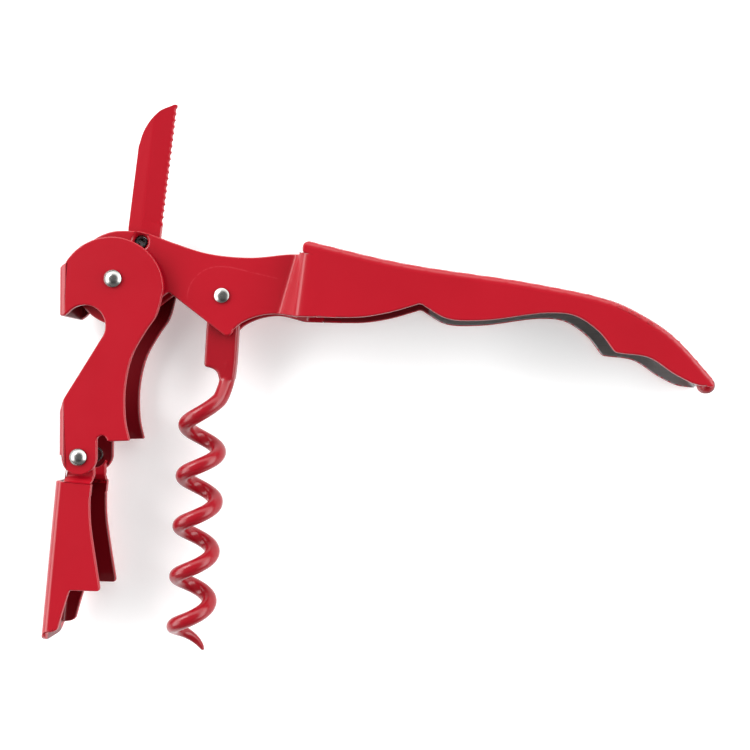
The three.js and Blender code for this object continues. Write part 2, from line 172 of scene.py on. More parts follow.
def plate(name, points, low, high, along=(0, 0, 1)):
    """A closed outline, filled and extruded from low to high along a direction."""
    piece = draw(name, points)
    bpy.ops.mesh.remove_doubles(threshold=SAME_POINT)
    bpy.ops.mesh.edge_face_add()
    bpy.ops.transform.translate(value=Vector(along) * low)
    rise = Vector(along) * (high - low)
    bpy.ops.mesh.extrude_region_move(TRANSFORM_OT_translate={"value": rise})
    bpy.ops.mesh.select_all(action="SELECT")
    bpy.ops.mesh.normals_make_consistent(inside=False)
    bpy.ops.object.mode_set(mode="OBJECT")
    return piece


# %% [markdown]
# ## Cutting, joining and rounding
#
# A press cuts its outline out of a sheet that is already folded, or folds what it has cut. A
# Boolean modifier does the same: it keeps what lies inside a cutter, or takes it away. The edges
# that a press leaves are then broken in a tumbler, and the coating rounds them further. That is a
# bevel of every edge that is sharper than the bends. A Weighted Normal modifier keeps the large
# faces looking flat beside the small round ones.

# %% Modifier helpers
SMOOTH_BELOW = 40
WELD = 0.0005


def apply(piece, kind, **settings):
    """Adds a modifier with its settings and applies it."""
    modifier = piece.modifiers.new(kind.title(), kind)
    for name, value in settings.items():
        setattr(modifier, name, value)
    only(piece)
    bpy.ops.object.modifier_apply(modifier=modifier.name)


def combine(piece, cutter, operation):
    """Cuts, trims or joins a piece with a cutter, which is used up."""
    apply(piece, "BOOLEAN", operation=operation, object=cutter, solver="MANIFOLD")
    bpy.data.objects.remove(cutter)
    return piece


def smooth(piece):
    """Smooths the bends and keeps the flats flat, without the normals that a cutter left."""
    only(piece)
    if piece.data.has_custom_normals:
        bpy.ops.mesh.customdata_custom_splitnormals_clear()
    bpy.ops.object.shade_smooth_by_angle(angle=math.radians(SMOOTH_BELOW))
    apply(piece, "WEIGHTED_NORMAL", weight=100, keep_sharp=True)


def round_edges(piece, width, segments=3, sharper_than=50, where=lambda co: True):
    """Rounds the edges that are sharper than an angle, where a test says so."""
    only(piece)
    bpy.ops.object.mode_set(mode="EDIT")
    bpy.ops.mesh.select_all(action="SELECT")
    bpy.ops.mesh.remove_doubles(threshold=WELD)
    bpy.ops.mesh.select_mode(type="EDGE")
    bpy.ops.mesh.select_all(action="DESELECT")
    bpy.ops.mesh.edges_select_sharp(sharpness=math.radians(sharper_than))
    bpy.ops.object.mode_set(mode="OBJECT")
    corners = piece.data.vertices
    for edge in piece.data.edges:
        edge.select = edge.select and all(where(corners[i].co) for i in edge.vertices)
    bpy.ops.object.mode_set(mode="EDIT")
    bpy.ops.mesh.bevel(
        offset=width, segments=segments, affect="EDGES", miter_outer="ARC", clamp_overlap=False
    )
    bpy.ops.mesh.select_mode(type="VERT")
    bpy.ops.object.mode_set(mode="OBJECT")
    smooth(piece)


print("bends are smooth below", SMOOTH_BELOW, "degrees")

# %% [markdown]
# ## Selecting by place and turning on a lathe
#
# With the mouse, a row of vertices is boxed and moved. In code the same row is found by where its
# vertices are. A rivet, a washer and a hole are round, so the last two helpers spin half a
# profile and make a round cutter.

# %% Selecting and turning helpers
ROUND_BELOW = 35
LATHE_WELD = 1e-4


def pick(piece, kind, test):
    """Selects vertices, edges or faces by their place, and leaves the piece in edit mode."""
    only(piece)
    bpy.ops.object.mode_set(mode="EDIT")
    bpy.ops.mesh.select_mode(type=kind)
    bpy.ops.mesh.select_all(action="DESELECT")
    bpy.ops.object.mode_set(mode="OBJECT")
    mesh = piece.data
    where = [vertex.co for vertex in mesh.vertices]
    parts = {"VERT": mesh.vertices, "EDGE": mesh.edges, "FACE": mesh.polygons}[kind]
    for part in parts:
        corners = [part.co] if kind == "VERT" else [where[i] for i in part.vertices]
        part.select = all(test(corner) for corner in corners)
    bpy.ops.object.mode_set(mode="EDIT")


def turned(name, profile, steps=64):
    """A profile of (radius, height) points spun about Z, as on a lathe."""
    piece = draw(name, [(radius, 0, height) for radius, height in profile])
    bpy.ops.mesh.spin(steps=steps, angle=math.tau, center=(0, 0, 0), axis=(0, 0, 1))
    bpy.ops.mesh.select_all(action="SELECT")
    bpy.ops.mesh.remove_doubles(threshold=LATHE_WELD)
    bpy.ops.mesh.normals_make_consistent(inside=False)
    bpy.ops.object.mode_set(mode="OBJECT")
    bpy.ops.object.shade_smooth_by_angle(angle=math.radians(ROUND_BELOW))
    return piece


def post(radius, half, x=0.0, y=0.0, steps=48):
    """A round cutter across the tool."""
    return plate("post", arc(x, y, radius, 0, 360, steps), -half, half)


print("round pieces are smooth below", ROUND_BELOW, "degrees")

# %% [markdown]
# ## Shader maths as plain expressions
#
# A material's maths is a web of Math nodes, which is hard to read back. The class below wraps one
# socket, so that an expression such as 1 - mask * 0.3 adds the nodes itself. Finish holds a
# material and has one method for every other kind of node. Numbers that are the same all over the
# surface are set straight on the shader.

# %% The socket and finish classes
class Value:
    """A number or colour that changes over a surface."""

    def __init__(self, graph, socket):
        self.graph, self.socket = graph, socket

    def maths(self, operation, first, second):
        return self.graph.node("ShaderNodeMath", {"operation": operation}, {0: first, 1: second})

    def __add__(self, other):
        return self.maths("ADD", self, other)

    def __radd__(self, other):
        return self.maths("ADD", other, self)

    def __sub__(self, other):
        return self.maths("SUBTRACT", self, other)

    def __rsub__(self, other):
        return self.maths("SUBTRACT", other, self)

    def __mul__(self, other):
        return self.maths("MULTIPLY", self, other)

    def __rmul__(self, other):
        return self.maths("MULTIPLY", other, self)

    def __pow__(self, other):
        return self.maths("POWER", self, other)

    def __abs__(self):
        return self.maths("ABSOLUTE", self, 0.0)


class Graph:
    """A tree of nodes, with one method that adds any node."""

    def __init__(self, tree, coordinates):
        self.tree = tree
        self.place = self.node("ShaderNodeTexCoord", output=coordinates)

    def node(self, kind, settings=None, values=None, output=0):
        """A node with its settings made first, and then the values or links of its sockets."""
        node = self.tree.nodes.new(kind)
        for name, setting in (settings or {}).items():
            setattr(node, name, setting)
        for key, value in (values or {}).items():
            if isinstance(value, Value):
                self.tree.links.new(value.socket, node.inputs[key])
            else:
                node.inputs[key].default_value = value
        return Value(self, node.outputs[output])

    def between(self, value, low, high):
        """0 below low, 1 above high and smooth between."""
        values = {"Value": value, "From Min": low, "From Max": high}
        return self.node("ShaderNodeMapRange", {"interpolation_type": "SMOOTHSTEP"}, values)

    def split(self, vector):
        """The three parts of a vector."""
        x = self.node("ShaderNodeSeparateXYZ", None, {0: vector})
        return x, *(Value(self, x.socket.node.outputs[i]) for i in (1, 2))

    def mix(self, mask, first, second):
        """The first colour where the mask is 0 and the second where it is 1."""
        colours = {0: mask, 6: first, 7: second}
        return self.node("ShaderNodeMix", {"data_type": "RGBA"}, colours, output=2)


class Finish(Graph):
    """A material on Object coordinates."""

    def __init__(self, name, uniform):
        self.material = bpy.data.materials.new(name)
        self.material.use_nodes = True
        super().__init__(self.material.node_tree, "Object")
        self.shader = self.tree.nodes["Principled BSDF"]
        for socket, value in uniform.items():
            self.shader.inputs[socket].default_value = value

    def noise(self, size, detail=2.0, stretch=(1, 1, 1), roughness=0.5):
        """Noise with features of a size in millimetres, from 0 to 1."""
        place = self.node("ShaderNodeMapping", None, {"Vector": self.place, "Scale": stretch})
        values = {"Vector": place, "Scale": 1 / (size * MM), "Detail": detail}
        return self.node("ShaderNodeTexNoise", None, values | {"Roughness": roughness})

    def bump(self, height, depth):
        """Relief of a depth in millimetres."""
        values = {"Height": height, "Distance": depth * MM, "Strength": 1.0}
        return self.node("ShaderNodeBump", None, values)

    def feed(self, socket, value):
        self.tree.links.new(value.socket, self.shader.inputs[socket])


print("an expression on a Value adds nodes for + - * ** and abs")

# %% [markdown]
# ## The red coating
#
# The sheet, the worm and the knife all carry the same gloss red coating. It is cured paint, so it
# has a faint orange-peel surface of ripples about a millimetre wide, and the colour is never
# quite even. The handle's neck also shows a thin rub line where the folded lever passes over it.
# The insides of the channels and the worm's wire get darker copies of it, which are painted shade.

# %% Red coating
RED = (0.36, 0.003, 0.012, 1)
DEEP_RED = (0.315, 0.002, 0.009, 1)
RUBBED_RED = (0.46, 0.025, 0.04, 1)
GLOSS = {"Coat Weight": 0.45, "Coat Roughness": 0.06, "Specular IOR Level": 0.2}
RIPPLE_DEPTH = 0.004


def red_coating(name, rub_line=False, shade=1.0):
    """The coating, with its colours multiplied by a shade; below 1 it is a darker copy, a painted
    shade.
    """
    red, deep = ((*(shade * part for part in colour[:3]), 1) for colour in (RED, DEEP_RED))
    finish = Finish(name, GLOSS)
    clouds = finish.between(finish.noise(14, 3), 0.35, 0.7)
    specks = finish.between(finish.noise(0.35, 1), 0.68, 0.8)
    colour = finish.mix(clouds * 0.35 + specks * 0.2, red, deep)
    roughness = 0.3 + 0.08 * finish.noise(3, 4)
    ripple = finish.noise(1.3, 2) + 0.15 * finish.noise(0.3, 1)
    relief = finish.bump(ripple, RIPPLE_DEPTH)
    if rub_line:
        line = neck_rub(finish)
        colour = finish.mix(line * 0.5, colour, RUBBED_RED)
        roughness = roughness + line * 0.12
    finish.feed("Base Color", colour)
    finish.feed("Roughness", roughness)
    finish.feed("Normal", relief)
    return finish.material


RUB_CENTRE = AXLE + Vector((18.6, -3.4, 0)) * MM
RUB_RADIUS = 5.9 * MM
RUB_RISE, RUB_SLOPE = 6.2 * MM, 0.24
RUB_EDGE = (0.04 * MM, 0.16 * MM)
RUB_FOOT = (-1 * MM, 2 * MM)
RUB_TOP = (0.8 * MM, 2 * MM)
RUB_END = (9.5 * MM, 11.2 * MM)
RUB_WANDER = 0.3 * MM


def neck_rub(finish):
    """A thin arc round the worm's rivet that runs on as a straight line to the grip."""
    x, y, _ = finish.split(finish.place)
    across, up = x - RUB_CENTRE.x, y - RUB_CENTRE.y
    radius = (across * across + up * up) ** 0.5
    wander = RUB_WANDER * (finish.noise(5, 2) - 0.5)
    ring = 1 - finish.between(abs(radius - RUB_RADIUS + wander), *RUB_EDGE)
    line = abs(up + RUB_SLOPE * across - RUB_RISE + wander)
    straight = 1 - finish.between(line, *RUB_EDGE)
    past_top = finish.between(across, *RUB_TOP)
    before_grip = 1 - finish.between(across, *RUB_END)
    above = finish.between(up, *RUB_FOOT)
    broken = finish.between(finish.noise(0.9, 3), 0.3, 0.6)
    return (ring * (1 - past_top) * above + straight * (past_top * before_grip)) * broken


coating = red_coating("red coating")
handle_coating = red_coating("red coating, rubbed neck", rub_line=True)
# The inside of the channels is darkened to a third: painted shade in the recesses.
shaded_inside_coating = red_coating("red coating, inside darkened as painted shade", shade=0.32)
# The wire is darkened a little: painted shade against the bright light on its sides.
shaded_wire_coating = red_coating("red coating on the wire, darkened as painted shade", shade=0.78)
for paint in (coating, handle_coating, shaded_inside_coating, shaded_wire_coating):
    print(paint.name, "has", len(paint.node_tree.nodes), "nodes")

# %% [markdown]
# ## The steels
#
# The rivets are polished, with hair scratches that only show in the gloss. The inside of the
# handle was masked from the paint and shows bare rolled steel, with its grain along the sheet.
# The knife's pin and the sleeve inside the neck are dull steel, made near black as painted shade so
# that the pin's hole reads dark.

# %% Steel finishes
DULLED = 0.72


def steel(name, colour, roughness, grain, stretch, depth):
    """Steel with hair lines of a grain in millimetres and faint stains."""
    finish = Finish(name, {"Metallic": 1.0})
    lines = finish.noise(grain, 3, stretch, 0.6)
    stain = finish.between(finish.noise(2.5, 3), 0.4, 0.75)
    dull = tuple(DULLED * part for part in colour)
    finish.feed("Base Color", finish.mix(stain * 0.5 + lines * 0.2, (*colour, 1), (*dull, 1)))
    finish.feed("Roughness", roughness + 0.1 * lines + 0.08 * stain)
    finish.feed("Normal", finish.bump(lines, depth))
    return finish.material


BARE_FROM = AXLE.x + 57 * MM
STRAYING = 6 * MM
PAINT_EDGE = 1.2 * MM
# The stray paint is the red darkened to a third, as painted shade inside the channel.
SHADED_STRAY_RED = (0.12, 0.001, 0.004, 1)
PALE_STEEL = (0.5, 0.48, 0.48, 1)
GREY_STEEL = (0.34, 0.33, 0.33, 1)
ROLLED = (0.03, 1, 1)


def masked_steel(name):
    """The inside of the handle, where paint strayed in at the neck and the rest is bare; the paint
    is darkened as painted shade.
    """
    finish = Finish(name, {"Coat Roughness": 0.1})
    x, _, _ = finish.split(finish.place)
    edge = x - BARE_FROM + STRAYING * (finish.noise(2.5, 4) - 0.5)
    bare = finish.between(edge, -PAINT_EDGE, PAINT_EDGE)
    lines = finish.noise(0.25, 3, ROLLED, 0.6)
    metal = finish.mix(lines, PALE_STEEL, GREY_STEEL)
    finish.feed("Base Color", finish.mix(bare, SHADED_STRAY_RED, metal))
    finish.feed("Metallic", bare)
    finish.feed("Roughness", 0.26 + 0.12 * lines)
    finish.feed("Normal", finish.bump(lines, 0.0015))
    return finish.material


rivet_steel = steel("polished steel", (0.38, 0.375, 0.36), roughness=0.17, grain=0.5,
                    stretch=(1, 6, 1), depth=0.0006)
# Near-black steel: dull steel darkened further as painted shade for the pin's hole.
dark_steel = steel("steel darkened as painted shade", (0.05, 0.05, 0.052), roughness=0.42, grain=0.3,
                   stretch=(1, 1, 1), depth=0.003)
bare_steel = masked_steel("bare rolled steel")
print("steels:", rivet_steel.name, "/", bare_steel.name, "/", dark_steel.name)

# %% [markdown]
# ## Tying a piece to the frame
#
# A finished piece is named to the frame twice: the body that it moves with, and the plain solid
# that it stands for, which is hidden. One helper does both, so neither is forgotten.

# %% The tie helper
def tie(piece, body, slot, *nodes):
    """Gives a piece its body and hides the plain solids that it stands for. The slot is not used.
    """
    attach(piece, body)
    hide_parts(*nodes)


print("plain solids to stand for:", len(frame["nodes"]))

# %% [markdown]
# ## A folded channel
#
# The grip and both stages of the lever are channels: a back with two walls, and a round bend
# between them. One way is to fold a thin surface and give it thickness. Another is to take a
# solid bar with two rounded edges and to hollow it with a slightly smaller one. The second keeps
# the wall exactly even in the bends, and the hollow can carry its own finish, so it is used here.

# %% The channel helper
SHEET = 1.0
BEND = 1.6
OVERRUN = 2


def channel(name, back, walls_to, half, finishes):
    """A channel whose back follows a line, with walls out to walls_to and two finishes.

    The first finish is that of the outside, and the second that of the inside.
    """
    side = 1 if walls_to > back[0][1] else -1

    def bar(label, line, reach, half_width, radius, steps):
        outline = [*line, (line[-1][0], reach), (line[0][0], reach)]
        piece = plate(label, outline, -half_width, half_width)
        pick(piece, "EDGE", lambda co: abs(abs(co.z) - half_width) < SAME_POINT
             and abs(co.y - reach) > 10 * SAME_POINT)
        bpy.ops.mesh.bevel(offset=radius, segments=steps, affect="EDGES")
        bpy.ops.object.mode_set(mode="OBJECT")
        return piece

    outer = bar(name, back, walls_to, half, BEND, 6)
    inner_line = []
    for i, (x, y) in enumerate(back):
        (x0, y0), (x1, y1) = back[max(i - 1, 0)], back[min(i + 1, len(back) - 1)]
        run = math.hypot(x1 - x0, y1 - y0)
        normal = (-(y1 - y0) / run, (x1 - x0) / run)
        flip = side if normal[1] > 0 else -side
        inner_line.append((x + flip * SHEET * normal[0], y + flip * SHEET * normal[1]))
    for end, inwards in ((0, 1), (-1, -2)):
        (x0, y0), (x1, y1) = inner_line[end], inner_line[inwards]
        run = math.hypot(x1 - x0, y1 - y0)
        beyond = (x0 + OVERRUN * (x0 - x1) / run, y0 + OVERRUN * (y0 - y1) / run)
        inner_line = [beyond, *inner_line] if end == 0 else [*inner_line, beyond]
    hollow = bar("hollow", inner_line, walls_to + side, half - SHEET, BEND - SHEET, 4)
    for piece in (outer, hollow):
        piece.data.materials.append(finishes[0])
        piece.data.materials.append(finishes[1])
    for face in hollow.data.polygons:
        face.material_index = 1
    return combine(outer, hollow, "DIFFERENCE")


print("sheet", SHEET, "mm, outside bend", BEND, "mm")

# %% [markdown]
# ## The handle: the grip
#
# The grip is the folded end of the sheet. Its back follows the spine, a nearly straight line that
# dives at the tail, and its walls are trimmed to a finger notch, a belly and a long sweep. So the
# channel comes first, deeper than it needs to be, and the side view cuts it to shape.

# %% Fold and trim the grip
HANDLE_HALF = 6.4
GRIP_START = 34.0
OVERLAP, OVERLAP_END = 36.2, 40.0
TAIL_CUT = 106.2
DEEP = -27.0
CUT_HALF = 10
EDGE_ROUND = 0.3
ROUND_UNTIL = 104.8
SPINE_STEPS = 5

spine = through([(GRIP_START, 6.9), (51.6, 2.7), (74.2, -0.8), (88.4, -3.9), (94, -6.5),
                 (99.7, -10.4), (107.7, -19.3)], SPINE_STEPS)
grip_side = [
    (GRIP_START, 12), (GRIP_START, 4.5), (OVERLAP, 3.6), (OVERLAP, -7.0),
    *through([(OVERLAP, -7.0), (OVERLAP_END, -7.08), (44.5, -7.0), (49.3, -6.2), (53.9, -4.9)], 8),
    *bow((53.9, -4.9), (54.9, -4.4), (55.7, -5.2), 6),
    *through([(55.7, -5.2), (59.5, -7.3), (66, -7.6), (77.3, -6.3), (82, -6.8), (86.2, -9.6),
              (88.7, -12.8)], 8),
    *bow((88.7, -12.8), (89.1, -13.4), (89.9, -13.4), 4),
    *through([(89.9, -13.4), (95, -14.2), (99.5, -17.1), (103.2, -18.9), (TAIL_CUT, -19.3)], 8),
    (TAIL_CUT, 12),
]
handle = channel("folded_handle", spine, DEEP, HANDLE_HALF, (handle_coating, bare_steel))
combine(handle, plate("grip side", grip_side, -CUT_HALF, CUT_HALF), "INTERSECT")


def off_the_seams(co):
    """Leaves out the edges that the neck and the bead are joined to."""
    at_neck = co.x < OVERLAP + 0.1 and co.y < 4.49
    return co.x < ROUND_UNTIL and not at_neck


round_edges(handle, EDGE_ROUND, where=off_the_seams)
print("grip:", len(handle.data.polygons), "faces")

# %% [markdown]
# ## The handle: the neck
#
# In front of the grip the two walls step in towards each other and run on as flat plates to the
# round head. Seen from above, each is one line with two soft bends, so it is drawn as a line,
# extruded to a strip and thickened with Solidify. The bends lean over a little, because the sheet
# was pressed against a slanted block: the top and the bottom of each bend are pushed along the
# handle by different amounts.

# %% Press the two neck plates
NECK_HALF = 2.6
NECK_END = 31.3
STEP_RUN = 2.3
LEAN_IN, LEAN_OUT = 0.286, 0.129
REACH = 12


def softened(line, cuts, steps=8):
    """A line of points with each corner cut back and bowed."""
    result = [line[0]]
    for cut, before, corner, after in zip(cuts, line, line[1:], line[2:]):
        into = Vector(corner) - Vector(before)
        out = Vector(after) - Vector(corner)
        start = Vector(corner) - into.normalized() * cut
        end = Vector(corner) + out.normalized() * cut
        result += bow(tuple(start), corner, tuple(end), steps)
    return [*result, line[-1]]


def pressed_plate(side):
    """One neck plate, drawn from above and extruded upwards."""
    corners = [(-15, NECK_HALF), (NECK_END, NECK_HALF), (NECK_END + STEP_RUN, HANDLE_HALF),
               (46, HANDLE_HALF)]
    line = softened(corners, (1.0, 1.7))
    piece = draw("neck plate", [(x, -REACH, side * z) for x, z in line])
    piece.data.materials.append(handle_coating)
    bpy.ops.mesh.extrude_region_move(TRANSFORM_OT_translate={"value": (0, 2 * REACH, 0)})
    bpy.ops.object.mode_set(mode="OBJECT")
    middle = NECK_END + STEP_RUN / 2
    for end in (-REACH, REACH):
        pick(piece, "VERT", lambda co: abs(co.y - end) < SAME_POINT)
        bpy.ops.transform.translate(value=(LEAN_OUT * end, 0, 0))
        leaned = middle + LEAN_OUT * end
        pick(piece, "VERT", lambda co: abs(co.y - end) < SAME_POINT and co.x < leaned)
        bpy.ops.transform.translate(value=((LEAN_IN - LEAN_OUT) * end, 0, 0))
        bpy.ops.object.mode_set(mode="OBJECT")
    pick(piece, "FACE", lambda co: True)
    bpy.ops.mesh.normals_make_consistent(inside=False)
    bpy.ops.object.mode_set(mode="OBJECT")
    outwards = piece.data.polygons[0].normal.z * side > 0
    apply(piece, "SOLIDIFY", thickness=SHEET, offset=-1 if outwards else 1, use_even_offset=True)
    return piece


neck_plates = [pressed_plate(side) for side in (1, -1)]
for piece in neck_plates:
    print("neck plate:", [round(side, 2) for side in piece.dimensions], "mm")

# %% [markdown]
# ## The handle: piercing, joining and the tail
#
# The side view trims the two plates to the head, the waist and the lobe below the worm's rivet. A
# press pierces the holes for the rivets; the one for the knife's pin is also dished, so that its
# rim is wide and round. Each plate is rounded on its own and then joined to the grip, so that
# they are one sheet again and the seam stays flat. The end of the sheet is curled into a small
# bead at the tail.

# %% Trim, pierce and join the neck
HEAD = (0.7, 0.4, 8.6)
RIVET_HOLE = 1.35
SMALL_HOLE = 1.15
HOLE_HALF = 9
neck_side = [
    *arc(*HEAD, 95, 275, 60),
    *bow((2.2, -8.05), (4.4, -6.6), (5.6, -4.9), 3), (9.2, -2.1),
    *bow((19.3, -9.9), (20.6, -10.4), (21, -8.9), 8),
    *through([(21, -8.9), (22.3, -7.8), (25, -6.6), (28.5, -6.1), (32.8, -6.9)], 8),
    (OVERLAP, -7.0), (OVERLAP_END, -7.08), (OVERLAP_END, 3.0), (OVERLAP, 4.1),
    *through([(GRIP_START, 4.55), (NECK_END, 4.7), (24, 4.1), (16.1, 4.9), (10.4, 6.7), (4.6, 8.75),
              (1.5, 9.0)], 8),
]
DISH = [(0, 0), (1.25, 0), (1.25, 1.75), (1.36, 2.15), (1.62, 2.45), (2.0, 2.62), (2.0, 3),
        (0, 3)]
for side, neck in zip((1, -1), neck_plates):
    combine(neck, plate("neck side", neck_side, -CUT_HALF, CUT_HALF), "INTERSECT")
    dish = turned("dish", [(radius, side * height) for radius, height in DISH])
    bpy.ops.transform.translate(value=KNIFE_PIVOT)
    bpy.ops.object.transform_apply(location=True)
    combine(neck, dish, "DIFFERENCE")
    combine(neck, post(RIVET_HOLE, HOLE_HALF), "DIFFERENCE")
    combine(neck, post(SMALL_HOLE, HOLE_HALF, WORM_PIVOT.x, WORM_PIVOT.y), "DIFFERENCE")
    round_edges(neck, EDGE_ROUND, where=lambda co: co.x < OVERLAP_END - 0.1)
    combine(handle, neck, "UNION")
print("joined:", len(handle.data.polygons), "faces")

# %% [markdown]
# ## The handle: the tail
#
# At the tail the end of the sheet is curled up, so that no sharp edge meets the hand. The curl is
# a short bead, made from a round plate whose rims are beveled almost to a ball. It joins the
# sheet last, because its rims are rounder than those of the sheet.

# %% Curl the tail
TAIL_BEAD = (106.75, -18.95, 1.3)
BEAD_HALF = 1.6
BEAD_ROUND = 0.9
bead = plate("bead", arc(*TAIL_BEAD, 0, 360, 32), -BEAD_HALF, BEAD_HALF)
bead.data.materials.append(handle_coating)
pick(bead, "EDGE", lambda co: abs(abs(co.z) - BEAD_HALF) < SAME_POINT)
bpy.ops.mesh.bevel(offset=BEAD_ROUND, segments=5, affect="EDGES")
bpy.ops.object.mode_set(mode="OBJECT")
combine(handle, bead, "UNION")
smooth(handle)
used = [face.material_index for face in handle.data.polygons]
for i, finish in enumerate(handle.data.materials):
    if finish:
        print(finish.name, "covers", used.count(i), "faces")
settle(handle, (0, 0, 0))
tie(handle, "handle", "red_coating", "handle_body")

# %% [markdown]
# ## The upper lever
#
# This stage is a channel that wraps round the head of the handle. Its cheeks are round at the top
# and carry the cap opener: a round throat in the back with a hook below it. The back ends above
# the hinge, so that the lower stage can swing out between the two ears. It is drawn lying down,
# with x running down the lever from its rivet.

# %% Fold, trim and pierce the upper lever
LEVER_BACK = 10.0
LEVER_HALF = 4.6
HINGE_X, HINGE_Y = -HINGE.y, HINGE.x
LEVER_CUT_HALF = 8
LEVER_EDGE_ROUND = 0.28
OPENING_HALF = 3.6
UPPER_TURN = -90
THROAT = (8.4, 4.8 - LEVER_BACK, 3.75)

upper_side = [
    (HINGE_X - 0.6, -LEVER_BACK - 1), (HINGE_X - 7.3, -LEVER_BACK - 1),
    (HINGE_X - 7.3, -LEVER_BACK),
    *bow((HINGE_X - 7.3, -LEVER_BACK), (HINGE_X - 9, 0.5 - LEVER_BACK),
         (HINGE_X - 10.2, 1 - LEVER_BACK), 6),
    *arc(*THROAT, 58, 231, 36),
    (THROAT[0] - 1.8, 1.1 - LEVER_BACK), (THROAT[0] - 1.9, -LEVER_BACK),
    (THROAT[0] - 1.9, -LEVER_BACK - 1),
    (-2.3, -LEVER_BACK - 1), (-2.3, -LEVER_BACK + 0.3),
    *arc(1.9, -0.5, LEVER_BACK - 0.55, 240, 90, 48),
    *through([(1.9, 8.95), (6.4, 7.7), (9.1, 5.9), (13.6, 3.4), (19.1, 2.15),
              (HINGE_X - 6.8, 2.15), (HINGE_X - 2.9, 2.95)], 8),
    *bow((HINGE_X - 2.8, HINGE_Y + 5.1), (HINGE_X - 4.6, HINGE_Y + 4.6),
         (HINGE_X - 3.4, HINGE_Y + 3.2), 8),
    *arc(HINGE_X, HINGE_Y, 3.2, 85, -95, 30),
]
upper_back = [(-20, -LEVER_BACK), (HINGE_X + 20, -LEVER_BACK)]
upper = channel("upper_stage", upper_back, 12, LEVER_HALF, (coating, shaded_inside_coating))
combine(upper, plate("side", upper_side, -LEVER_CUT_HALF, LEVER_CUT_HALF), "INTERSECT")
opening = [
    (HINGE_X - 0.6, -LEVER_BACK - 1), (HINGE_X + 5, -LEVER_BACK - 1),
    (HINGE_X + 5, 1.3 - LEVER_BACK), (HINGE_X - 0.6, 1.3 - LEVER_BACK),
]
combine(upper, plate("opening", opening, -OPENING_HALF, OPENING_HALF), "DIFFERENCE")
combine(upper, post(RIVET_HOLE, HOLE_HALF), "DIFFERENCE")
combine(upper, post(RIVET_HOLE, HOLE_HALF, HINGE_X, HINGE_Y), "DIFFERENCE")
round_edges(upper, LEVER_EDGE_ROUND)
settle(upper, (0, 0, 0), UPPER_TURN)
tie(upper, "upper_lever", "red_coating", "lever_upper")

# %% [markdown]
# ## The lower lever
#
# The second stage is a smaller channel. Its walls step in to two narrow ears that fit inside the
# upper stage, and carry an arched notch, the first rest for a bottle's lip. At the foot the walls
# stop and the back runs on as a short tongue. The ears are made the way of the handle's neck,
# from a line seen from above.

# %% Fold the lower lever
LOWER_BACK = 4.1
LOWER_LENGTH = 31.5
TONGUE_END = LOWER_LENGTH + 1.9
SHOULDER = 4.6
CORNER = 2.6
LOWER_TURN = -95.2

lower_side = [
    (SHOULDER, -LOWER_BACK - 1), (TONGUE_END, -LOWER_BACK - 1), (TONGUE_END, 1 - LOWER_BACK),
    (LOWER_LENGTH + 0.2, 1 - LOWER_BACK),
    *bow((LOWER_LENGTH + 0.2, 1 - LOWER_BACK), (LOWER_LENGTH, 2.9 - LOWER_BACK),
         (LOWER_LENGTH - 0.8, 3.2 - LOWER_BACK)),
    *bow((LOWER_LENGTH - 0.8, 3.2 - LOWER_BACK), (LOWER_LENGTH - 5, 3.9 - LOWER_BACK),
         (LOWER_LENGTH - 7.7, 4.6 - LOWER_BACK), 8),
    *bow((LOWER_LENGTH - 8, 9.5 - LOWER_BACK), (LOWER_LENGTH - 8.1, 10.1 - LOWER_BACK),
         (LOWER_LENGTH - 8.9, 9.9 - LOWER_BACK)),
    *through([(LOWER_LENGTH - 8.9, 9.9 - LOWER_BACK), (LOWER_LENGTH - 13.2, 8.8 - LOWER_BACK),
              (LOWER_LENGTH - 20, 7.2 - LOWER_BACK), (SHOULDER + 2.4, 6.7 - LOWER_BACK),
              (SHOULDER, 6.7 - LOWER_BACK)], 8),
]
lower_back = [(-20, -LOWER_BACK), (60, -LOWER_BACK)]
lower = channel("lower_stage", lower_back, 12, LEVER_HALF, (coating, shaded_inside_coating))
combine(lower, plate("side", lower_side, -LEVER_CUT_HALF, LEVER_CUT_HALF), "INTERSECT")
plan = [
    (-20, -LEVER_HALF - 1), (20, -LEVER_HALF - 1), (20, -LEVER_HALF - 0.01),
    *arc(TONGUE_END - CORNER, CORNER - LEVER_HALF, CORNER, 270, 360),
    *arc(TONGUE_END - CORNER, LEVER_HALF - CORNER, CORNER, 0, 90),
    (20, LEVER_HALF + 0.01), (20, LEVER_HALF + 1), (-20, LEVER_HALF + 1),
]
combine(lower, plate("plan", [(x, 0, z) for x, z in plan], -12, 20, (0, 1, 0)), "INTERSECT")

print("lower stage before its ears:", len(lower.data.polygons), "faces")

# %% [markdown]
# ## The lower lever: the ears
#
# Each ear is drawn from above as a line that steps outwards to the wall, with a second line one
# sheet inside it. The plate between them is stood on edge and its side view is cut out, round at
# the hinge. The edge where ear and wall overlap is left sharp, because a bevel there would open
# the join.

# %% Add the ears
EAR_HALF = 3.3
EAR_RADIUS = 2.4
FLARE = 3.5
SEAM_Y = 2.5

